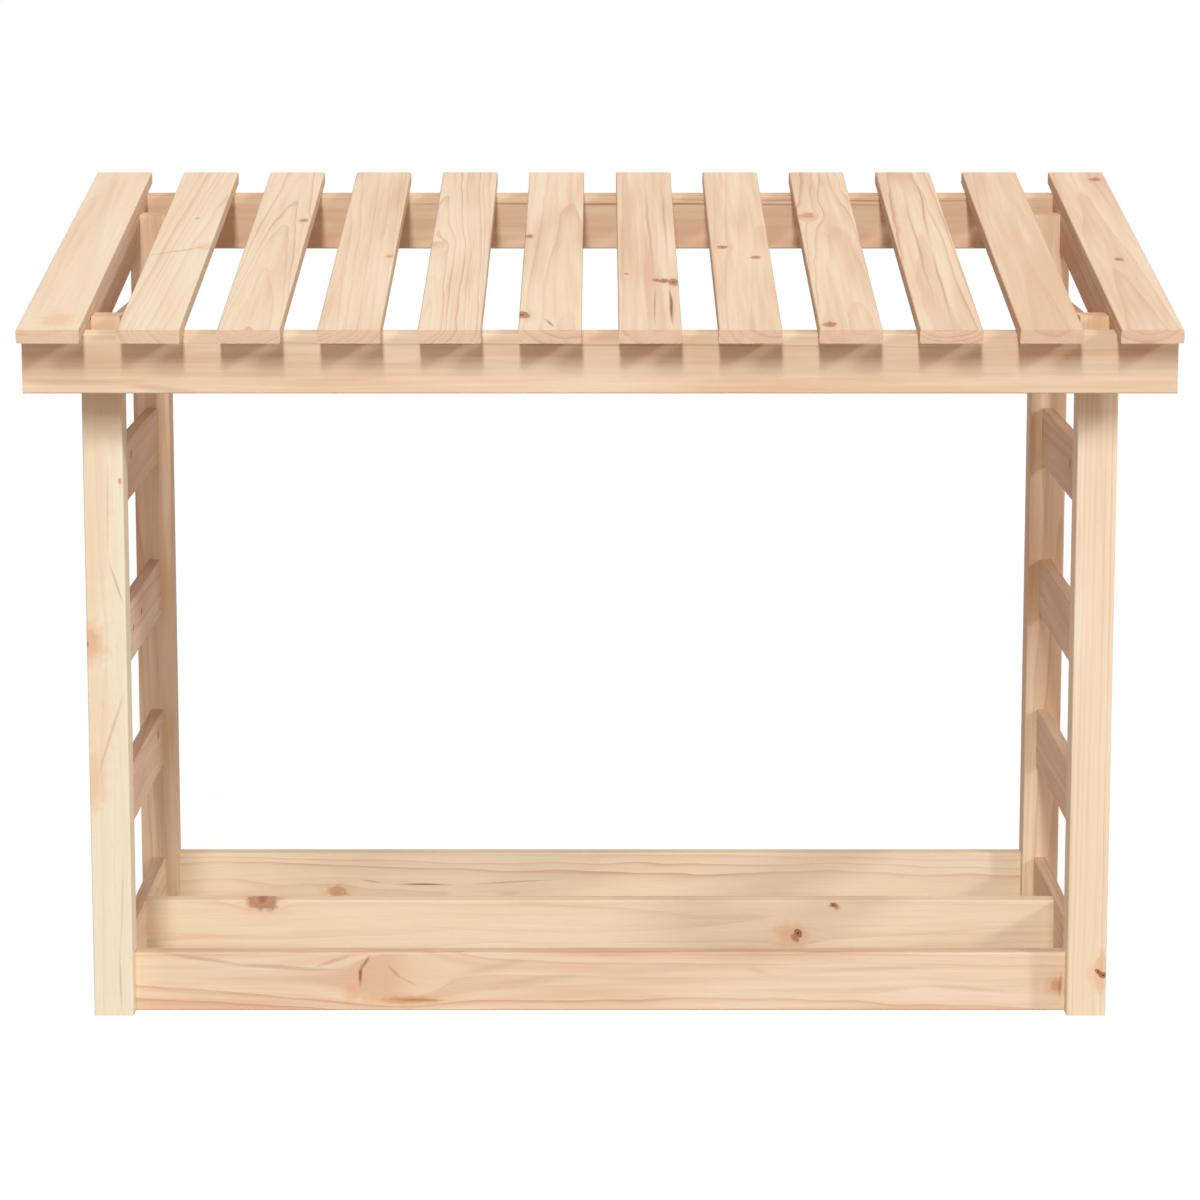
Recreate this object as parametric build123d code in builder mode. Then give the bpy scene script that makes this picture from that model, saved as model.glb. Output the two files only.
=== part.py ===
from build123d import *
import math
import os

# Log store: an open rack of planed pine with a slatted roof that falls towards the front.
# Lengths are in millimetres. +X is the right-hand side seen from the front, -Y is the front
# and +Z is up. The origin lies on the ground under the middle of the roof.

# Timber sections
post_size = 38.0             # square posts
board_width = 58.5           # rails, beams and side slats
rail_thickness = 18.0        # ground rails and roof beams
side_slat_thickness = 13.0
roof_slat_width = 58.5
roof_slat_thickness = 13.0
rafter_thickness = 18.0
rafter_height = 38.0
edge_radius = 1.5            # planed edges are eased

# Frame of the rack
frame_width = 983.0          # over the outer faces of the posts
frame_depth = 463.0          # over the front and back faces of the posts
front_post_drop = 0.5        # post's top below the underside of the roof slats, at its middle
back_post_drop = 5.5
top_slat_drop = 13.0         # top slat of a side below the tops of the front posts
top_gap = 67.0               # opening between the third side slat and the top one
side_slat_count = 3          # between the ground rail and the top slat of a side

# Roof
eaves_height = 678.0         # top of the roof slats at their front ends
roof_slope = 9.25            # degrees
roof_slat_count = 12
front_overhang = 34.5        # roof slats ahead of the front beam
back_overhang = 38.5         # roof slats behind the back beam
beam_gap = 36.5              # level gap between the posts and the beam in front of or behind them
beam_inset = 0.5             # each end of a beam inside the outer edge of the roof
rafter_rebate = 10.5         # cut into the outer top corner of each post
outer_slat_clearance = 0.5   # between a post's tongue and the outermost roof slat
inner_slat_clearance = 6.5   # between a post's tongue and the second roof slat

# Places worked out from the sizes above
slope = math.radians(roof_slope)
beam_offset = rail_thickness + beam_gap
roof_depth = front_overhang + beam_offset + frame_depth + beam_offset + back_overhang
roof_front_y = -roof_depth / 2
front_beam_y = roof_front_y + front_overhang
front_post_y = front_beam_y + beam_offset
back_post_y = front_post_y + frame_depth - post_size
back_beam_y = back_post_y + post_size + beam_gap
post_outer_x = frame_width / 2
post_inner_x = post_outer_x - post_size
post_middle_x = post_outer_x - post_size / 2
tongue_outer_x = post_outer_x - rafter_rebate
side_slat_inner_x = post_middle_x - side_slat_thickness / 2
outer_slat_x = tongue_outer_x + outer_slat_clearance + roof_slat_width / 2
second_slat_x = post_inner_x - inner_slat_clearance - roof_slat_width / 2
beam_length = 2 * (outer_slat_x + roof_slat_width / 2 - beam_inset)


def roof_top(y):
    """Height of the roof slats' top faces at y."""
    return eaves_height + (y - roof_front_y) * math.tan(slope)


def roof_underside(y):
    """Height of the roof slats' undersides at y."""
    return roof_top(y) - roof_slat_thickness / math.cos(slope)


def rafter_underside(y):
    """Height of the rafters' lower edges at y."""
    return roof_underside(y) - rafter_height / math.cos(slope)


def post_height(front_y, drop):
    """Height of a post whose square-cut top lies under the roof slats by drop at its middle."""
    return roof_underside(front_y + post_size / 2) - drop


front_post_height = post_height(front_post_y, front_post_drop)
back_post_height = post_height(back_post_y, back_post_drop)
top_slat_bottom = front_post_height - top_slat_drop - board_width
side_slat_pitch = (top_slat_bottom - top_gap - board_width) / side_slat_count

os.makedirs("parts", exist_ok=True)


def save(part, name):
    part.label = name
    export_step(part, f"parts/{name}.step")


def make_post(name, side, front_y, height):
    """A square post whose outer top corner is rebated for the rafter, which leaves a tongue inside it."""
    middle_y = front_y + post_size / 2
    rebate_back_y = front_y + post_size
    with BuildPart() as post:
        with BuildSketch(Plane.XY):
            with Locations((side * post_middle_x, middle_y)):
                RectangleRounded(post_size, post_size, edge_radius)
        extrude(amount=height)
        # the rebate follows the slope, so that the rafter bears on its shoulder
        with BuildSketch(Plane.YZ.offset(side * tongue_outer_x)):
            with BuildLine():
                Polyline(
                    (front_y, rafter_underside(front_y)),
                    (rebate_back_y, rafter_underside(rebate_back_y)),
                    (rebate_back_y, height),
                    (front_y, height),
                    close=True,
                )
            make_face()
        extrude(amount=side * rafter_rebate, mode=Mode.SUBTRACT)
    save(post.part, name)


def make_ground_rail(name, front_y, length):
    """A board on edge across the rack, resting on the ground."""
    with BuildPart() as rail:
        with BuildSketch(Plane.YZ.offset(-length / 2)):
            with Locations((front_y + rail_thickness / 2, board_width / 2)):
                RectangleRounded(rail_thickness, board_width, edge_radius)
        extrude(amount=length)
    save(rail.part, name)


def make_side_slat(name, side, bottom):
    """A board on edge between the front and back posts of one side."""
    with BuildPart() as slat:
        with BuildSketch(Plane.XZ.offset(-front_post_y - post_size)):
            with Locations((side * post_middle_x, bottom + board_width / 2)):
                RectangleRounded(side_slat_thickness, board_width, edge_radius)
        extrude(amount=2 * post_size - frame_depth)
    save(slat.part, name)


def make_beam(name, front_y):
    """A beam across the rack whose top edge is planed to the slope of the roof."""
    back_y = front_y + rail_thickness
    bottom = roof_underside(back_y) - board_width
    with BuildPart() as beam:
        with BuildSketch(Plane.YZ.offset(-beam_length / 2)) as section:
            with BuildLine():
                Polyline(
                    (front_y, bottom),
                    (back_y, bottom),
                    (back_y, roof_underside(back_y)),
                    (front_y, roof_underside(front_y)),
                    close=True,
                )
            make_face()
            fillet(section.vertices(), edge_radius)
        extrude(amount=beam_length)
    save(beam.part, name)


def make_rafter(name, side):
    """A batten under the roof slats, from the front beam to the back beam."""
    front_y = front_beam_y + rail_thickness
    back_y = back_beam_y
    with BuildPart() as rafter:
        with BuildSketch(Plane.YZ.offset(side * tongue_outer_x)):
            with BuildLine():
                Polyline(
                    (front_y, rafter_underside(front_y)),
                    (back_y, rafter_underside(back_y)),
                    (back_y, roof_underside(back_y)),
                    (front_y, roof_underside(front_y)),
                    close=True,
                )
            make_face()
        extrude(amount=side * rafter_thickness)
        sloping_edges = rafter.edges().filter_by(Axis.Y, reverse=True).filter_by(Axis.X, reverse=True)
        fillet(sloping_edges.filter_by(Axis.Z, reverse=True), edge_radius)
    save(rafter.part, name)


def make_roof_slat(name, middle_x):
    """A roof slat, cut square at both ends and laid to the slope."""
    length = (roof_depth - roof_slat_thickness * math.sin(slope)) / math.cos(slope)
    front_end = Plane(
        origin=(middle_x, roof_front_y, roof_top(roof_front_y)),
        x_dir=(1, 0, 0),
        z_dir=(0, math.cos(slope), math.sin(slope)),
    )
    with BuildPart() as slat:
        with BuildSketch(front_end):
            # this plane's own y axis points down through the slat
            with Locations((0, roof_slat_thickness / 2)):
                RectangleRounded(roof_slat_width, roof_slat_thickness, edge_radius)
        extrude(amount=length)
    save(slat.part, name)


# Side frames
for side, side_name in ((-1, "left"), (1, "right")):
    make_post(f"front_{side_name}_post", side, front_post_y, front_post_height)
    make_post(f"back_{side_name}_post", side, back_post_y, back_post_height)
    make_side_slat(f"{side_name}_ground_rail", side, 0.0)
    for row in range(1, side_slat_count + 1):
        make_side_slat(f"{side_name}_side_slat_{row}", side, row * side_slat_pitch)
    make_side_slat(f"{side_name}_top_slat", side, top_slat_bottom)
    make_rafter(f"{side_name}_rafter", side)

# Ground rails across the rack, flush with the rear faces of the posts that hold them
rail_in_post = post_size - rail_thickness
front_rail_y = front_post_y + rail_in_post
back_rail_y = back_post_y + rail_in_post
make_ground_rail("front_rail", front_rail_y, 2 * post_inner_x)
make_ground_rail("middle_rail", (front_rail_y + back_rail_y) / 2, 2 * side_slat_inner_x)
make_ground_rail("back_rail", back_rail_y, 2 * post_inner_x)

# Roof
make_beam("front_beam", front_beam_y)
make_beam("back_beam", back_beam_y)
inner_slat_count = roof_slat_count - 2
inner_slat_pitch = 2 * second_slat_x / (inner_slat_count - 1)
slat_places = [-second_slat_x + i * inner_slat_pitch for i in range(inner_slat_count)]
for number, middle_x in enumerate([-outer_slat_x] + slat_places + [outer_slat_x], start=1):
    make_roof_slat(f"roof_slat_{number:02d}", middle_x)
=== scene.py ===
import math
import random
from dataclasses import dataclass, field

import bpy
from mathutils import Matrix, Vector


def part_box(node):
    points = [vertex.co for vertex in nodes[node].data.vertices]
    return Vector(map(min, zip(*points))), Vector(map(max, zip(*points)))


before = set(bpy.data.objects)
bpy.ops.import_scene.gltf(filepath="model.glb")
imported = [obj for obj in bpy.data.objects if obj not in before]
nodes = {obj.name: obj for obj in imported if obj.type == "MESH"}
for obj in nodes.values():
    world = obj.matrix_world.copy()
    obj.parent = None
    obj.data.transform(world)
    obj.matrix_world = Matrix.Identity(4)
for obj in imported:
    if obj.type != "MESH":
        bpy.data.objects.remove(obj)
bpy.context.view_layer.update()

# Looks of the log store: bare planed pine, each board with its own rings, knots and tone.
# Places in the scene are in metres. Places and lengths on a board are in millimetres.

MILLIMETRE = 0.001
ROOF_SLOPE = math.radians(9.25)
POST_FRONT = -19.0           # a post's front face, from its middle
POST_BACK = 19.0


# Colours of the wood

def srgb(red, green, blue):
    """A colour as it shows on a screen, from 0 to 255, in the linear values that shaders take."""
    channels = []
    for level in (red / 255, green / 255, blue / 255):
        channels.append(level / 12.92 if level <= 0.04045 else ((level + 0.055) / 1.055) ** 2.4)
    return (*channels, 1.0)


STRAW = srgb(249, 244, 216)
CREAM = srgb(249, 233, 203)
PEACH = srgb(232, 200, 166)
SUMMER_WOOD = srgb(200, 148, 113)
# darkest tone: heartwood where tone drifts high, and painted shade on the rafters
HEARTWOOD_AND_SHADE = srgb(205, 160, 127)
END_GRAIN = srgb(238, 206, 177)
# the flush around knots, also used as painted shade on the front posts' tops
FLUSH_AND_SHADE = srgb(238, 182, 128)
KNOT_WOOD = srgb(196, 122, 80)
KNOT_DARK = srgb(92, 46, 26)
RESIN = srgb(150, 88, 54)
PAINTED_EDGE_SHADE = (0.80, 0.72, 0.67)      # painted shade: what a narrow face keeps of its colour where that shade is drawn in full
USUAL_PAINTED_EDGE_SHARE = 0.9              # how much of that painted shade most boards have


# Boards

@dataclass
class Knot:
    """A knot, placed from the left, front or lower end of its board and from the board's middle line."""
    along: float
    across: float
    radius: float
    length: float = 1.0     # stretch along the grain
    turn: float = 0.0       # degrees
    body: float = 1.0       # how much of the knot's own wood shows
    dark: float = 0.5       # dark bark around it and in its heart
    halo: float = 0.6       # flush of colour around it
    push: float = 1.0       # how far the rings run around it
    face: float = 0.0       # depth of the face that it opens on
    slim: float = 0.0       # how fast it thins away from that face; 0 goes right through


def flush(along, across, radius, **others):
    """A flush of colour with no knot in it."""
    return Knot(along, across, radius, body=0.0, dark=0.0, **others)


@dataclass
class Streak:
    """A resin line between two places (along, across) on a board."""
    start: tuple
    end: tuple
    width: float            # from its middle line to where it has faded out
    depth: float            # how much of the resin's colour shows


@dataclass
class Board:
    """The figure of one board."""
    pith: tuple             # the tree's middle, across and below the board's middle line
    spacing: float          # between two rings
    taper: float            # rise of the rings along the board
    wave: float             # wander of the rings
    tone: float             # -0.6 is straw, 0 is cream, 1 is peach and 2 is heartwood, which on the rafters is painted shade
    lines: float            # strength of the dark summer wood
    knots: list = field(default_factory=list)
    streaks: list = field(default_factory=list)
    edges: float = USUAL_PAINTED_EDGE_SHARE    # share of the painted shade on its narrow faces


BOARDS = {
    "roof_slat_01": Board(
        pith=(-10, 70), spacing=9, taper=0.010, wave=5, tone=0.10, lines=0.25,
        knots=[flush(39, 5.5, 9, length=1.6, halo=0.8)],
    ),
    "roof_slat_02": Board(
        pith=(30, 26), spacing=6, taper=0.035, wave=6, tone=0.00, lines=0.38,
        knots=[
            flush(322, 24, 6, length=1.4, halo=0.6),
            Knot(442, 5, 2.2, length=1.2, body=0.5, dark=0.3, halo=0.4),
        ],
        streaks=[Streak((276, -42), (332, 40), width=4.0, depth=0.28)],
    ),
    "roof_slat_03": Board(
        pith=(4, 34), spacing=4.5, taper=0.028, wave=9, tone=0.16, lines=0.72,
        knots=[Knot(433, 22, 4.5, length=1.5, body=0.7, dark=0.35, halo=0.7)],
    ),
    "roof_slat_04": Board(
        pith=(-40, 60), spacing=5, taper=0.012, wave=5, tone=0.40, lines=0.34,
        knots=[Knot(282, 25, 3.4, length=1.8, body=0.45, dark=0.1, halo=0.9)],
    ),
    "roof_slat_05": Board(
        pith=(-24, 20), spacing=4.2, taper=0.022, wave=12, tone=0.26, lines=0.75,
        knots=[Knot(330, -30, 6, length=2.0, body=0.2, dark=0.0, halo=0.3, push=2.2)],
    ),
    "roof_slat_06": Board(
        pith=(16, 46), spacing=8, taper=0.018, wave=7, tone=0.30, lines=0.42,
        knots=[
            Knot(364.6, -25, 4.2, length=1.8, body=0.8, dark=0.6, halo=0.6),
            Knot(56.8, -26.5, 6.0, length=1.9, body=1.0, dark=0.95, halo=0.8),
        ],
        streaks=[Streak((46, -6), (8, 5), width=2.6, depth=0.7)],
    ),
    "roof_slat_07": Board(
        pith=(6, 30), spacing=12, taper=0.006, wave=5, tone=0.52, lines=0.50,
        knots=[
            Knot(187, 8, 3.6, length=1.5, body=1.0, dark=0.9, halo=0.5, push=0.5),
            Knot(184, 16, 4.4, length=1.7, body=1.0, dark=0.9, halo=0.6, push=0.5),
            Knot(180, 24.5, 4.6, length=2.6, body=1.0, dark=0.8, halo=0.8, push=0.5),
            Knot(212, -21, 2.6, length=1.6, body=0.6, dark=0.3, halo=0.5),
        ],
        streaks=[
            Streak((653, -1), (190, 6.5), width=2.4, depth=0.34),
            Streak((185, 6.5), (4, 4.5), width=1.6, depth=0.5),
            Streak((653, 17.8), (190, 20.5), width=2.2, depth=0.30),
            Streak((178, 20.5), (2, 21.5), width=2.6, depth=0.95),
        ],
    ),
    "roof_slat_08": Board(
        pith=(24, 38), spacing=9, taper=0.020, wave=6, tone=0.50, lines=0.48,
        knots=[
            Knot(318.8, -17, 5.0, length=1.2, body=0.9, dark=0.75, halo=0.6),
            Knot(277.9, 14.7, 4.0, length=1.4, body=0.9, dark=0.75, halo=0.6),
        ],
    ),
    "roof_slat_09": Board(
        pith=(8, 22), spacing=9.5, taper=0.040, wave=18, tone=0.50, lines=0.95,
        knots=[
            Knot(455, -19, 6.0, length=1.8, body=0.6, dark=0.2, halo=0.8, push=1.8),
            Knot(21.5, -18.7, 5.4, length=1.5, body=1.0, dark=0.7, halo=0.7),
        ],
    ),
    "roof_slat_10": Board(
        pith=(-4, 60), spacing=7, taper=0.008, wave=7, tone=0.48, lines=0.85,
        streaks=[
            Streak((653, 14), (330, 5), width=2.2, depth=0.45),
            Streak((345, 5), (0, 2.5), width=2.0, depth=0.42),
            Streak((653, -6), (10, -9), width=2.2, depth=0.34),
        ],
    ),
    "roof_slat_11": Board(pith=(0, 24), spacing=9, taper=0.030, wave=6, tone=0.70, lines=0.38),
    "roof_slat_12": Board(
        pith=(-6, 34), spacing=8, taper=0.026, wave=7, tone=0.56, lines=0.58,
        knots=[
            Knot(620, 17, 5.2, length=1.5, body=0.9, dark=0.65, halo=0.6),
            Knot(270, 0, 4.2, length=1.4, body=0.9, dark=0.75, halo=0.6),
        ],
    ),
    "front_beam": Board(
        pith=(0, 120), spacing=11, taper=0.002, wave=5, tone=0.44, lines=0.45, edges=0.0,
        streaks=[
            Streak((4, 19), (1076, 13.5), width=1.6, depth=0.30),
            Streak((-40, -16), (130, -18.5), width=5.0, depth=0.22),
            Streak((70, -16), (200, -33), width=5.0, depth=0.22),
        ],
    ),
    "back_beam": Board(
        pith=(20, 80), spacing=8, taper=0.004, wave=7, tone=0.85, lines=0.60, edges=0.0,
        streaks=[
            Streak((180, 19), (1000, 17), width=1.8, depth=0.6),
            Streak((500, 23), (1070, 21), width=1.2, depth=0.5),
        ],
    ),
    "front_rail": Board(
        pith=(-46, 34), spacing=10, taper=0.010, wave=16, tone=0.46, lines=0.66,
        knots=[
            flush(257, 6, 9, length=2.2, halo=0.25, push=2.4),
            Knot(219, 9, 2.0, length=0.5, body=0.7, dark=0.4, halo=0.9, push=0.0),
            flush(211, -12, 6.0, length=0.7, halo=0.9, push=0.0),
            Knot(266, -19.0, 3.6, length=7.0, body=0.32, dark=0.05, halo=0.9, push=0.0),
            Knot(898, -4, 6.0, length=0.8, body=0.35, dark=0.10, halo=0.9),
        ],
        streaks=[
            Streak((10, 32), (120, 14), width=3.2, depth=0.28),
            Streak((70, 18), (210, 11), width=3.0, depth=0.32),
            Streak((165, 11), (222, 29), width=3.0, depth=0.28),
            Streak((231, 30), (217, 8), width=2.4, depth=0.6),
            Streak((220.5, 21), (219, -8), width=2.6, depth=0.8),
            Streak((244, 18), (262, 0), width=2.0, depth=0.36),
            Streak((254, 6), (278, -6), width=1.8, depth=0.24),
            Streak((242, -17.5), (312, -18.5), width=2.2, depth=0.45),
            Streak((300, 3), (400, 26), width=6.0, depth=0.13),
            Streak((320, -9), (470, 12), width=6.5, depth=0.14),
            Streak((410, 5), (600, 16), width=6.0, depth=0.13),
            Streak((590, 15), (625, 5), width=4.0, depth=0.14),
            Streak((600, 7), (820, 16), width=4.5, depth=0.15),
            Streak((676, -12), (790, -4), width=4.5, depth=0.14),
            Streak((740, -3), (880, -11.5), width=3.5, depth=0.18),
            Streak((904, 12), (902, -20), width=2.4, depth=0.5),
        ],
    ),
    "middle_rail": Board(
        pith=(8, 34), spacing=6.5, taper=0.010, wave=8, tone=0.18, lines=0.62, edges=0.6,
        knots=[
            Knot(119.3, 29.5, 10.5, length=1.35, body=0.8, dark=0.5, halo=0.45),
            Knot(669.5, -6.0, 2.8, length=1.5, turn=55, body=1.0, dark=1.0, halo=0.3),
            Knot(666.5, -10.5, 3.4, length=1.4, turn=50, body=0.7, dark=0.35, halo=1.0, push=0.6),
            flush(664, -9, 7, length=1.5, turn=20, halo=1.0),
            Knot(705.5, 24, 2.4, length=1.3, body=0.9, dark=1.0, halo=0.5),
            Knot(709, 21.5, 2.2, length=1.2, body=0.5, dark=0.2, halo=0.9, push=0.0),
        ],
    ),
    "back_rail": Board(
        pith=(-16, 30), spacing=6.0, taper=0.008, wave=12, tone=0.02, lines=0.68, edges=0.6,
        knots=[Knot(170, -14, 6.0, length=1.8, body=0.5, dark=0.1, halo=0.7)],
        streaks=[
            Streak((226, -6), (300, -5.5), width=1.6, depth=0.8),
            Streak((190, 1), (226, -5.5), width=1.2, depth=0.4),
            Streak((300, -5.5), (420, 0), width=1.4, depth=0.35),
            Streak((232, -21), (300, -22), width=1.4, depth=0.6),
        ],
    ),
    "front_left_post": Board(
        pith=(30, 60), spacing=8, taper=0.004, wave=5, tone=-0.45, lines=0.16, edges=0.0,
        knots=[
            Knot(368.7, -18.6, 11, length=1.25, body=0.18, dark=0.0, halo=1.0, face=POST_FRONT, slim=0.08),
            Knot(
                367, -18.8, 1.7, length=1.6, body=0.8, dark=0.7, halo=0.0, push=0.0,
                face=POST_FRONT, slim=0.25,
            ),
            Knot(525, 15.7, 1.4, length=1.8, body=0.5, dark=0.3, halo=0.6, face=POST_FRONT, slim=0.25),
            # painted shade on the post's top above the beam, drawn as a flush
            flush(677, 0, 9, length=1.2, halo=1.0, push=0.0, face=POST_FRONT),
            # partly the post's own peach tone, partly painted shade that warms the beam's shadow here
            flush(604, -4, 16, length=2.0, halo=0.45, push=0.0, face=POST_FRONT, slim=0.05),
            flush(236, -14, 6, length=3.0, halo=0.8, push=0.0, face=POST_FRONT, slim=0.05),
            flush(290, -9, 8, length=5.0, halo=0.35, push=0.0, face=POST_FRONT, slim=0.05),
            flush(520, -10, 9, length=9.0, halo=0.40, push=0.0, face=POST_FRONT, slim=0.05),
        ],
        streaks=[
            Streak((560, 3.5), (445, 2.5), width=1.6, depth=0.22),
            Streak((452, 2.5), (400, 19), width=1.6, depth=0.38),
            Streak((336, 21), (226, -14), width=2.4, depth=0.26),
            Streak((176, 12.5), (44, 6.3), width=1.2, depth=0.20),
            Streak((80, 6.6), (-8, 6.6), width=1.6, depth=0.30),
        ],
    ),
    "front_right_post": Board(
        pith=(70, 40), spacing=6.0, taper=0.001, wave=2.5, tone=-0.06, lines=0.32, edges=0.0,
        knots=[
            Knot(44, 11, 2.0, length=1.6, turn=50, body=1.0, dark=1.0, halo=0.9, face=POST_FRONT, slim=0.14),
            Knot(
                40.5, 16, 2.8, length=1.5, turn=75, body=1.0, dark=0.9, halo=1.0,
                face=POST_FRONT, slim=0.14,
            ),
            flush(43, 14, 6, length=1.8, halo=1.0, face=POST_FRONT, slim=0.10),
            # painted shade on the post's top above the beam, drawn as a flush
            flush(677, 0, 9, length=1.2, halo=0.8, push=0.0, face=POST_FRONT),
        ],
    ),
    # the rafters' dark tone is painted shade, for the shade they lie in among the roof's boards
    "left_rafter": Board(pith=(10, 40), spacing=6, taper=0.010, wave=6, tone=1.25, lines=0.50),
    "right_rafter": Board(pith=(-12, 46), spacing=7, taper=0.014, wave=7, tone=1.50, lines=0.45),
}


# Shader building blocks

class Graph:
    """Adds shader nodes to a tree. A value is a number, a tuple or another node's output."""

    def __init__(self, tree):
        self.tree = tree

    def node(self, kind, *values, **settings):
        """A new node with these settings, and with the values on its first inputs."""
        made = self.tree.nodes.new(kind)
        for key, value in settings.items():
            setattr(made, key, value)
        for socket, value in zip(made.inputs, values):
            self.feed(socket, value)
        return made

    def feed(self, socket, value):
        if isinstance(value, bpy.types.NodeSocket):
            self.tree.links.new(value, socket)
        else:
            socket.default_value = value

    def math(self, operation, *values):
        return self.node("ShaderNodeMath", *values, operation=operation).outputs[0]

    def add(self, first, second):
        return self.math("ADD", first, second)

    def subtract(self, first, second):
        return self.math("SUBTRACT", first, second)

    def multiply(self, first, second):
        return self.math("MULTIPLY", first, second)

    def divide(self, first, second):
        return self.math("DIVIDE", first, second)

    def larger(self, first, second):
        return self.math("MAXIMUM", first, second)

    def vector(self, operation, *values):
        made = self.node("ShaderNodeVectorMath", *values, operation=operation)
        return made.outputs["Value" if operation in ("LENGTH", "DOT_PRODUCT") else "Vector"]

    def scaled(self, vector, factor):
        made = self.node("ShaderNodeVectorMath", vector, operation="SCALE")
        self.feed(made.inputs["Scale"], factor)
        return made.outputs["Vector"]

    def turned(self, vector, angle):
        """The x and y of a vector, turned around z."""
        made = self.node("ShaderNodeVectorRotate", vector, rotation_type="Z_AXIS")
        self.feed(made.inputs["Angle"], angle)
        x, y, _ = self.split(made.outputs[0])
        return x, y

    def split(self, vector):
        return self.node("ShaderNodeSeparateXYZ", vector).outputs

    def join(self, x, y, z):
        return self.node("ShaderNodeCombineXYZ", x, y, z).outputs[0]

    def smooth(self, value, low, high, start=0.0, end=1.0):
        """A soft step from start to end as value goes from low to high."""
        return self.node(
            "ShaderNodeMapRange", value, low, high, start, end, interpolation_type="SMOOTHSTEP"
        ).outputs[0]

    def fade(self, value, low, high):
        """A soft step down from 1 to 0."""
        return self.smooth(value, low, high, 1.0, 0.0)

    def noise(self, place, detail, scale=1.0):
        """Noise as a number around a half, and as a vector of three such numbers."""
        made = self.node("ShaderNodeTexNoise", place)
        made.inputs["Scale"].default_value = scale
        made.inputs["Detail"].default_value = detail
        return made.outputs[0], made.outputs[1]

    def swing(self, noise, amount):
        """The same noise as a number around 0."""
        return self.multiply(self.subtract(noise, 0.5), amount)

    def shade(self, noise, contrast):
        """The same noise as a factor around 1."""
        return self.add(self.multiply(noise, contrast), 1.0 - contrast / 2)

    def mix(self, factor, first, second):
        made = self.tree.nodes.new("ShaderNodeMix")
        made.data_type = "RGBA"
        self.feed(made.inputs[0], factor)
        self.feed(made.inputs[6], first)
        self.feed(made.inputs[7], second)
        return made.outputs[2]

    def use(self, group, **values):
        made = self.tree.nodes.new("ShaderNodeGroup")
        made.node_tree = group
        for name, value in values.items():
            self.feed(made.inputs[name], value)
        return made.outputs


def new_group(name, vectors, floats, outputs):
    """A node group with vector and number inputs; outputs is a list of (name, socket type)."""
    tree = bpy.data.node_groups.new(name, "ShaderNodeTree")
    for label in vectors:
        tree.interface.new_socket(label, in_out="INPUT", socket_type="NodeSocketVector")
    for label in floats:
        tree.interface.new_socket(label, in_out="INPUT", socket_type="NodeSocketFloat")
    for label, kind in outputs:
        tree.interface.new_socket(label, in_out="OUTPUT", socket_type=kind)
    graph = Graph(tree)
    given = tree.nodes.new("NodeGroupInput").outputs
    result = tree.nodes.new("NodeGroupOutput").inputs
    return tree, graph, given, result


# Knots. Each step is where a part of the knot begins and ends, in radii from its middle.
KNOT_STEP = (0.65, 1.25)
BARK_INNER_STEP = (0.5, 0.9)
BARK_OUTER_STEP = (0.95, 1.4)
HEART_STEP = (0.10, 0.55)
FLUSH_STEP = (0.6, 2.6)
BARK_STRENGTH = 0.5          # next to that of the dark heart
GRAIN_REACH = 0.45           # a distance along the grain counts for less when the rings part
BRANCH_RINGS = 3.2           # the branch's own rings, in radians per millimetre
BRANCH_CONTRAST = 0.12


def knot_group():
    """One knot: how it turns the rings aside, and masks for its wood, its bark and the flush around it."""
    tree, g, given, result = new_group(
        "Knot",
        vectors=["Place", "Flow", "Masks"],
        floats=[
            "Ragged", "Along", "Across", "Radius", "Length", "Turn",
            "Body", "Dark", "Halo", "Push", "Face", "Slim",
        ],
        outputs=[("Flow", "NodeSocketVector"), ("Masks", "NodeSocketVector")],
    )
    centre = g.join(given["Along"], given["Across"], 0.0)
    offset = g.vector("SUBTRACT", given["Place"], centre)
    x, y, z = g.split(offset)

    # the rings part around the knot as water does around a pier
    reach = g.multiply(given["Radius"], given["Push"])
    grain_x = g.multiply(x, GRAIN_REACH)
    distance_squared = g.add(g.multiply(grain_x, grain_x), g.multiply(y, y))
    never_zero = g.add(distance_squared, 0.01)
    share = g.divide(g.multiply(reach, reach), never_zero)
    aside = g.multiply(y, g.math("MINIMUM", share, 1.0))
    g.feed(result["Flow"], g.vector("SUBTRACT", given["Flow"], g.join(0.0, aside, 0.0)))

    # distance from the knot's middle, in radii
    turned_x, turned_y = g.turned(offset, given["Turn"])
    ellipse = g.vector("LENGTH", g.join(g.divide(turned_x, given["Length"]), turned_y, 0.0))
    ratio = g.divide(ellipse, given["Radius"])
    ragged_edge = g.add(given["Ragged"], 0.5)      # this noise is about a half, so the size stays
    ratio = g.multiply(ratio, ragged_edge)
    below = g.math("ABSOLUTE", g.subtract(z, given["Face"]))
    ratio = g.multiply(ratio, g.add(g.multiply(below, given["Slim"]), 1.0))

    branch_wave = g.math("SINE", g.multiply(ellipse, BRANCH_RINGS))
    branch_rings = g.add(g.multiply(branch_wave, BRANCH_CONTRAST), 1.0 - BRANCH_CONTRAST)
    wood = g.multiply(g.fade(ratio, *KNOT_STEP), given["Body"])
    wood = g.multiply(wood, branch_rings)
    rim = g.multiply(g.smooth(ratio, *BARK_INNER_STEP), g.fade(ratio, *BARK_OUTER_STEP))
    heart = g.fade(ratio, *HEART_STEP)
    bark = g.multiply(g.larger(g.multiply(rim, BARK_STRENGTH), heart), given["Dark"])
    glow = g.multiply(g.fade(ratio, *FLUSH_STEP), given["Halo"])
    g.feed(result["Masks"], g.vector("MAXIMUM", given["Masks"], g.join(wood, bark, glow)))
    return tree


STREAK_STEP = (0.15, 1.0)    # where a streak starts to fade, and where it is gone


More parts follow.
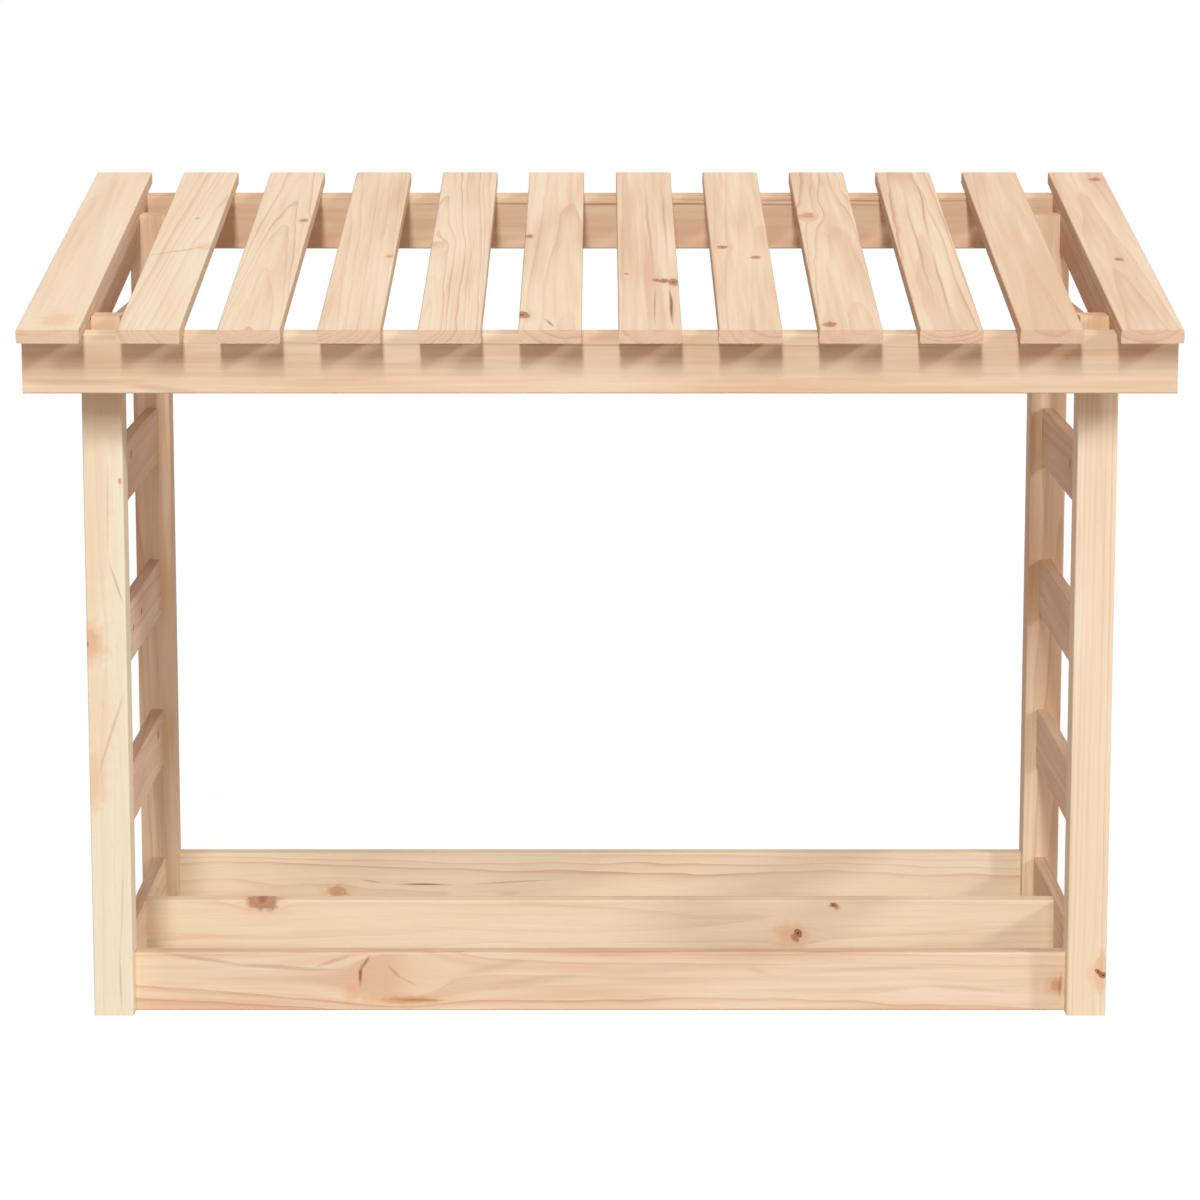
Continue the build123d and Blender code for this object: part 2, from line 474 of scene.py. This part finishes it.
def streak_group():
    """A resin line: a mask that fades out sideways and towards both ends."""
    tree, g, given, result = new_group(
        "Streak",
        vectors=["Place"],
        floats=["Mask", "Sway", "Along", "Across", "Turn", "Reach", "Width", "Depth"],
        outputs=[("Mask", "NodeSocketFloat")],
    )
    offset = g.vector("SUBTRACT", given["Place"], g.join(given["Along"], given["Across"], 0.0))
    x, y = g.turned(offset, given["Turn"])
    sideways = g.divide(g.add(y, given["Sway"]), given["Width"])
    lengthways = g.divide(x, given["Reach"])
    ratio = g.vector("LENGTH", g.join(lengthways, sideways, 0.0))
    line = g.multiply(g.fade(ratio, *STREAK_STEP), given["Depth"])
    g.feed(result["Mask"], g.larger(given["Mask"], line))
    return tree


# How fast the wood varies along, across and into its grain, in cycles per millimetre
WANDER_SCALE = (0.0035, 0.028, 0.028)
RIPPLE_SCALE = (0.020, 0.10, 0.10)
BAND_SCALE = (0.006, 0.16, 0.16)
FIBRE_SCALE = (0.02, 0.8, 0.8)
CANAL_SCALE = (0.08, 1.8, 1.8)

# Rings. A season runs from 0 at the start of a year's growth to 1 at its end.
NOISE_CENTRE = (0.5, 0.5, 0.5)
RIPPLE_SHARE = 0.18          # of the rings' wander
UNEVEN_RATE = 0.4            # how often wide and narrow years change places
UNEVEN_YEARS = 1.5           # how far that shifts the rings
SLOW_STEP = (0.15, 0.92)     # the wood darkens slowly through the season
SLOW_SHARE = 0.30
QUICK_STEP = (0.62, 0.95)    # and quickly in its second half
QUICK_SHARE = 0.70
WINTER_STEP = (0.94, 1.0)
FAINTEST_RING = 0.25
PATCH_STEP = (0.35, 0.65)
FAINTEST_PATCH = 0.5

# Tone and fibres
STRAW_TONE = -0.6
CREAM_TONE = 0.0
PEACH_TONE = 1.0
HEARTWOOD_AND_SHADE_STEP = (0.9, 2.1)
TONE_DRIFT = 1.1             # between one part of a board and another
TONE_BANDS = 0.9             # between narrow bands along the grain
CANAL_STEP = (0.74, 0.84)
CANAL_STRENGTH = 0.2
FIBRE_CONTRAST = 0.12
END_RINGS = 0.5              # how strongly the rings show on end grain
END_CONTRAST = 0.2
END_TINT = 0.35              # the board's own colour in its end grain
FLUSH_STRENGTH = 0.5
KNOT_FIBRES = 0.35

# Surface
ROUGHNESS = 0.62
FIBRE_ROUGHNESS = 0.16
SUMMER_GLOSS = 0.08
KNOT_GLOSS = 0.12
END_ROUGHNESS = 0.14
PLANED_COARSENESS = 0.6
SAWN_COARSENESS = 0.8        # on top of that, on the ends
BUMP_STRENGTH = 0.5
BUMP_DEPTH = 0.00025         # metres
SPECULAR = 0.2


def summer_wood(g, given, bent, drift):
    """The dark part of each ring, from 0 to 1. Bent is the place in the tree, and drift a slow noise."""
    # rings are cones around the pith, and the plane of the board cuts them into arches
    x, y, z = g.split(bent)
    from_pith = g.join(0.0, g.subtract(y, given["Pith Across"]), g.add(z, given["Pith Depth"]))
    radius = g.add(g.vector("LENGTH", from_pith), g.multiply(x, given["Taper"]))
    year = g.divide(radius, given["Spacing"])
    uneven = g.node("ShaderNodeTexNoise", noise_dimensions="1D")
    g.feed(uneven.inputs["W"], g.add(g.multiply(year, UNEVEN_RATE), given["Seed"]))
    uneven.inputs["Scale"].default_value = 1.0
    uneven.inputs["Detail"].default_value = 0.0
    year = g.add(year, g.multiply(uneven.outputs[0], UNEVEN_YEARS))

    season = g.math("FRACT", year)
    winter = g.fade(season, *WINTER_STEP)
    slow = g.multiply(g.smooth(season, *SLOW_STEP), SLOW_SHARE)
    quick = g.multiply(g.smooth(season, *QUICK_STEP), QUICK_SHARE)
    late = g.multiply(g.add(slow, quick), winter)

    ring_number = g.node("ShaderNodeTexWhiteNoise", noise_dimensions="1D")
    g.feed(ring_number.inputs["W"], g.add(g.math("FLOOR", year), given["Seed"]))
    ring_strength = g.smooth(ring_number.outputs[0], 0.0, 1.0, FAINTEST_RING, 1.0)
    patchy = g.smooth(drift, *PATCH_STEP, FAINTEST_PATCH, 1.0)
    return g.multiply(g.multiply(late, ring_strength), patchy)


def wood_color(g, given, late, drift, band, fibre, canal):
    """The colour of plain wood on wide faces, narrow faces and ends, with painted shade on the narrow faces.
    """
    tone = g.add(given["Tone"], g.swing(drift, TONE_DRIFT))
    tone = g.add(tone, g.swing(band, TONE_BANDS))
    color = g.mix(g.smooth(tone, CREAM_TONE, PEACH_TONE), CREAM, PEACH)
    color = g.mix(g.smooth(tone, *HEARTWOOD_AND_SHADE_STEP), color, HEARTWOOD_AND_SHADE)
    color = g.mix(g.fade(tone, STRAW_TONE, CREAM_TONE), color, STRAW)
    color = g.mix(g.multiply(late, given["Lines"]), color, SUMMER_WOOD)
    color = g.mix(g.multiply(canal, CANAL_STRENGTH), color, SUMMER_WOOD)
    color = g.scaled(color, g.shade(fibre, FIBRE_CONTRAST))

    # painted shade: the narrow faces are drawn darker than the wide ones, standing in for the shade that
    # falls on them
    painted_shade_edge_color = g.vector("MULTIPLY", color, PAINTED_EDGE_SHADE)
    color = g.mix(given["Painted Edge Shade"], color, painted_shade_edge_color)

    # end grain has a colour of its own, and shows the rings and the fibres
    end_color = g.mix(g.multiply(late, END_RINGS), END_GRAIN, SUMMER_WOOD)
    end_color = g.scaled(end_color, g.shade(fibre, END_CONTRAST))
    end_color = g.mix(END_TINT, end_color, color)
    return g.mix(given["End"], color, end_color)


def pine_group():
    """Planed pine from a tree's rings: colour, roughness and height."""
    tree, g, given, result = new_group(
        "Pine",
        vectors=["Place", "Flow", "Masks"],
        floats=[
            "Resin", "End", "Painted Edge Shade", "Pith Across", "Pith Depth", "Spacing",
            "Taper", "Wave", "Tone", "Lines", "Seed",
        ],
        outputs=[
            ("Color", "NodeSocketColor"), ("Roughness", "NodeSocketFloat"), ("Height", "NodeSocketFloat"),
        ],
    )
    seed = g.join(given["Seed"], given["Seed"], given["Seed"])

    def grain_noise(place, scale, detail):
        """Noise that is drawn out along the grain and differs from board to board."""
        return g.noise(g.vector("ADD", g.vector("MULTIPLY", place, scale), seed), detail)

    drift, drift_vector = grain_noise(given["Flow"], WANDER_SCALE, 1.0)
    wander = g.scaled(g.vector("SUBTRACT", drift_vector, NOISE_CENTRE), given["Wave"])
    _, ripple_vector = grain_noise(given["Flow"], RIPPLE_SCALE, 0.0)
    ripple = g.vector("SUBTRACT", ripple_vector, NOISE_CENTRE)
    ripple = g.scaled(ripple, g.multiply(given["Wave"], RIPPLE_SHARE))
    bent = g.vector("ADD", given["Flow"], g.vector("ADD", wander, ripple))
    late = summer_wood(g, given, bent, drift)

    # fibres, paler and darker bands, and resin canals run along the grain
    fibre, _ = grain_noise(given["Place"], FIBRE_SCALE, 2.0)
    band, _ = grain_noise(given["Flow"], BAND_SCALE, 1.0)
    canal_noise, _ = grain_noise(given["Place"], CANAL_SCALE, 0.0)
    canal = g.smooth(canal_noise, *CANAL_STEP)

    color = wood_color(g, given, late, drift, band, fibre, canal)
    wood, bark, glow = g.split(given["Masks"])
    color = g.mix(g.multiply(glow, FLUSH_STRENGTH), color, FLUSH_AND_SHADE)
    color = g.mix(given["Resin"], color, RESIN)
    knot_color = g.mix(g.multiply(fibre, KNOT_FIBRES), KNOT_WOOD, KNOT_DARK)
    color = g.mix(wood, color, knot_color)
    color = g.mix(bark, color, KNOT_DARK)
    g.feed(result["Color"], color)

    # summer wood and knots are harder and shine a little more, and sawn ends shine less
    rough = g.add(ROUGHNESS, g.multiply(fibre, FIBRE_ROUGHNESS))
    rough = g.subtract(rough, g.multiply(late, SUMMER_GLOSS))
    rough = g.subtract(rough, g.multiply(wood, KNOT_GLOSS))
    rough = g.add(rough, g.multiply(given["End"], END_ROUGHNESS))
    g.feed(result["Roughness"], rough)

    # planing leaves only the fibres standing, and sawn ends are coarser
    coarseness = g.add(g.multiply(given["End"], SAWN_COARSENESS), PLANED_COARSENESS)
    g.feed(result["Height"], g.multiply(fibre, coarseness))
    return tree


knot_tree = knot_group()
streak_tree = streak_group()
pine_tree = pine_group()


# Materials. Each step is how far a face's normal lies along an axis of its board.
END_STEP = (0.55, 0.85)
EDGE_STEP = (0.35, 0.75)
RAGGED_SCALE = 0.12          # of the knots' outlines, in cycles per millimetre
SWAY_SCALE = (0.010, 0.03, 0.03)
SWAY = 5.0                   # how far a streak strays from its straight line
SEED_STEP = 7.3              # sets the boards apart in the noise


def board_axes(name):
    """Grain, across and depth axes of a board: the three columns of its own frame."""
    slope = Vector((0, math.cos(ROOF_SLOPE), math.sin(ROOF_SLOPE)))
    if name.endswith("post"):
        grain, across = Vector((0, 0, 1)), Vector((1, 0, 0))
    elif name.startswith("roof_slat"):
        grain, across = slope, Vector((1, 0, 0))
    elif name.endswith("rafter"):
        grain, across = slope, Vector((0, -math.sin(ROOF_SLOPE), math.cos(ROOF_SLOPE)))
    elif name.startswith(("left", "right")):
        grain, across = Vector((0, 1, 0)), Vector((0, 0, 1))
    else:
        grain, across = Vector((1, 0, 0)), Vector((0, 0, 1))
    return grain, across, grain.cross(across)


def plain_board(name, random_source):
    """A board whose figure the photograph doesn't show clearly."""
    is_post = name.endswith("post")
    knots = []
    for _ in range(random_source.choice((0, 1, 1, 2))):
        knots.append(Knot(
            along=random_source.uniform(40, 380),
            across=random_source.uniform(-16, 16),
            radius=random_source.uniform(2.2, 5.0),
            length=random_source.uniform(1.0, 1.5),
            dark=random_source.uniform(0.1, 0.7),
            face=random_source.choice((POST_FRONT, POST_BACK)) if is_post else 0.0,
            slim=0.14 if is_post else 0.0,
        ))
    return Board(
        pith=(random_source.uniform(-30, 30), random_source.uniform(24, 70)),
        spacing=random_source.uniform(5, 9),
        taper=random_source.uniform(0.004, 0.03),
        wave=random_source.uniform(4, 9),
        tone=random_source.uniform(0.45, 0.8),
        lines=random_source.uniform(0.35, 0.6),
        knots=knots,
        edges=0.0 if is_post else USUAL_PAINTED_EDGE_SHARE,
    )


def pine_material(name, board, seed):
    """Pine with the board's own rings and knots, laid in the board's own frame."""
    low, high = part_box(name)
    grain, across, depth = board_axes(name)
    length = (high - low).dot(grain)

    material = bpy.data.materials.new(f"pine_{name}")
    material.use_nodes = True
    tree = material.node_tree
    g = Graph(tree)
    shader = tree.nodes["Principled BSDF"]

    # places on the board, in millimetres from the middle of its first end
    coordinates = g.node("ShaderNodeTexCoord").outputs
    mapping = g.node("ShaderNodeMapping", coordinates["Object"], vector_type="TEXTURE")
    axes = Matrix((grain, across, depth)).transposed()
    mapping.inputs["Location"].default_value = (low + high) / 2 - grain * length / 2
    mapping.inputs["Rotation"].default_value = axes.to_euler()
    mapping.inputs["Scale"].default_value = (MILLIMETRE, MILLIMETRE, MILLIMETRE)
    place = mapping.outputs[0]
    facing = g.math("ABSOLUTE", g.vector("DOT_PRODUCT", coordinates["Normal"], tuple(grain)))
    end = g.smooth(facing, *END_STEP)
    sideways = g.math("ABSOLUTE", g.vector("DOT_PRODUCT", coordinates["Normal"], tuple(across)))
    # mask of the painted shade on the narrow faces
    edge_shade_mask = g.smooth(sideways, *EDGE_STEP, 0.0, board.edges)

    ragged, _ = g.noise(place, 1.0, RAGGED_SCALE)
    flow, masks = place, (0.0, 0.0, 0.0)
    for knot in board.knots:
        flow, masks = g.use(
            knot_tree, Place=place, Flow=flow, Masks=masks, Ragged=ragged,
            Along=knot.along, Across=knot.across, Radius=knot.radius, Length=knot.length,
            Turn=math.radians(knot.turn), Body=knot.body, Dark=knot.dark, Halo=knot.halo,
            Push=knot.push, Face=knot.face, Slim=knot.slim,
        )
    resin = 0.0
    sway_noise, _ = g.noise(g.vector("MULTIPLY", place, SWAY_SCALE), 1.0)
    sway = g.swing(sway_noise, SWAY)
    for line in board.streaks:
        start, finish = Vector(line.start), Vector(line.end)
        middle, run = (start + finish) / 2, finish - start
        resin = g.use(
            streak_tree, Place=place, Mask=resin, Sway=sway, Along=middle.x, Across=middle.y,
            Turn=-math.atan2(run.y, run.x), Reach=run.length / 2, Width=line.width, Depth=line.depth,
        )[0]
    pine = g.use(pine_tree, **{
        "Place": place, "Flow": flow, "Masks": masks, "Resin": resin, "End": end, "Painted Edge Shade": edge_shade_mask,
        "Pith Across": board.pith[0], "Pith Depth": board.pith[1], "Spacing": board.spacing,
        "Taper": board.taper, "Wave": board.wave, "Tone": board.tone, "Lines": board.lines,
        "Seed": seed * SEED_STEP,
    })

    bump = g.node("ShaderNodeBump")
    bump.inputs["Strength"].default_value = BUMP_STRENGTH
    bump.inputs["Distance"].default_value = BUMP_DEPTH
    g.feed(bump.inputs["Height"], pine["Height"])
    g.feed(shader.inputs["Base Color"], pine["Color"])
    g.feed(shader.inputs["Roughness"], pine["Roughness"])
    g.feed(shader.inputs["Normal"], bump.outputs[0])
    shader.inputs["Specular IOR Level"].default_value = SPECULAR
    return material


for seed, name in enumerate(sorted(nodes), start=1):
    board = BOARDS.get(name) or plain_board(name, random.Random(seed))
    material = pine_material(name, board, seed)
    for material_slot in nodes[name].material_slots:
        material_slot.material = material


# Floor, world and lamps
FLOOR_SIZE = 14.0
FLOOR_PAINT = (0.95, 0.95, 0.95, 1.0)    # what shows of the floor, and takes a faint shadow
FLOOR_GLOW = 1.07                        # mixed into it, so that it looks pure white
FLOOR_GLOW_SHARE = 0.88
FLOOR_BOUNCE = (0.42, 0.36, 0.34, 1.0)   # what lights the rack from below
WHITE = (1.0, 1.0, 1.0, 1.0)
FILL_LIGHT = (1.0, 0.77, 0.72, 1.0)
FILL_HORIZON = 0.61
FILL_ZENITH = 0.26
LAMP_AIM = Vector((0, 0, 0.4))
LAMP_DISTANCE = 18.0


def seen_directly(g):
    """1 for a ray from the camera or one that a glossy or clear surface passes on, and 0 for other light."""
    path = g.node("ShaderNodeLightPath").outputs
    passed_on = g.larger(path["Is Glossy Ray"], path["Is Transmission Ray"])
    return g.larger(path["Is Camera Ray"], passed_on)


def white_floor():
    """A floor that looks as white as the photograph's backdrop and bounces less light than that."""
    material = bpy.data.materials.new("white_floor")
    material.use_nodes = True
    tree = material.node_tree
    tree.nodes.clear()
    g = Graph(tree)
    paint = g.node("ShaderNodeBsdfDiffuse", FLOOR_PAINT).outputs[0]
    glow = g.node("ShaderNodeEmission", WHITE, FLOOR_GLOW).outputs[0]
    seen = g.node("ShaderNodeMixShader", FLOOR_GLOW_SHARE, paint, glow).outputs[0]
    bounce = g.node("ShaderNodeBsdfDiffuse", FLOOR_BOUNCE).outputs[0]
    surface = g.node("ShaderNodeMixShader", seen_directly(g), bounce, seen).outputs[0]
    g.node("ShaderNodeOutputMaterial", surface)
    return material


def studio_world():
    """A white backdrop, and a soft tent of fill light that is brighter around the rack than above it."""
    world = bpy.data.worlds.new("studio")
    world.use_nodes = True
    tree = world.node_tree
    tree.nodes.clear()
    g = Graph(tree)
    _, _, rise = g.split(g.node("ShaderNodeTexCoord").outputs["Generated"])
    fill_level = g.smooth(rise, 0.0, 1.0, FILL_HORIZON, FILL_ZENITH)
    fill_light = g.node("ShaderNodeBackground", FILL_LIGHT, fill_level).outputs[0]
    backdrop = g.node("ShaderNodeBackground", WHITE, 1.0).outputs[0]
    surface = g.node("ShaderNodeMixShader", seen_directly(g), fill_light, backdrop).outputs[0]
    g.node("ShaderNodeOutputWorld", surface)
    return world


def studio_lamp(name, azimuth, elevation, width, height, level):
    """A lamp that faces the rack; level is how bright it makes a white card, where 1 is white."""
    azimuth, elevation = math.radians(azimuth), math.radians(elevation)
    towards = Vector((
        math.sin(azimuth) * math.cos(elevation),
        -math.cos(azimuth) * math.cos(elevation),
        math.sin(elevation),
    ))
    data = bpy.data.lights.new(name, "AREA")
    data.shape = "RECTANGLE"
    data.size = width
    data.size_y = height
    # an area lamp of this power gives a card that faces it the wanted brightness
    data.energy = level * (math.pi * LAMP_DISTANCE) ** 2
    lamp = bpy.data.objects.new(name, data)
    bpy.context.collection.objects.link(lamp)
    lamp.location = LAMP_AIM + towards * LAMP_DISTANCE
    lamp.rotation_euler = towards.to_track_quat("Z", "Y").to_euler()
    lamp.visible_camera = False


bpy.ops.mesh.primitive_plane_add(size=FLOOR_SIZE, location=(0, 0, 0))
floor = bpy.context.object
floor.name = "floor"
floor.data.materials.append(white_floor())

scene = bpy.context.scene
scene.world = studio_world()

studio_lamp("key", azimuth=-3, elevation=38, width=1.6, height=8.2, level=0.54)
studio_lamp("side", azimuth=60, elevation=26, width=1.4, height=2.0, level=0.27)
studio_lamp("back", azimuth=170, elevation=30, width=6.0, height=6.0, level=0.14)


# Camera, as it was worked out from the photograph
SENSOR_WIDTH = 36.0
LENS = 121.94
CAMERA_PLACE = (0.0, -4.064, 1.058)
CAMERA_PITCH = 9.6           # degrees below the horizon

camera_data = bpy.data.cameras.new("camera")
camera_data.sensor_width = SENSOR_WIDTH
camera_data.lens = LENS
camera = bpy.data.objects.new("camera", camera_data)
bpy.context.collection.objects.link(camera)
camera.location = CAMERA_PLACE
camera.rotation_euler = (math.radians(90.0 - CAMERA_PITCH), 0.0, 0.0)
scene.camera = camera

scene.view_settings.view_transform = "Standard"
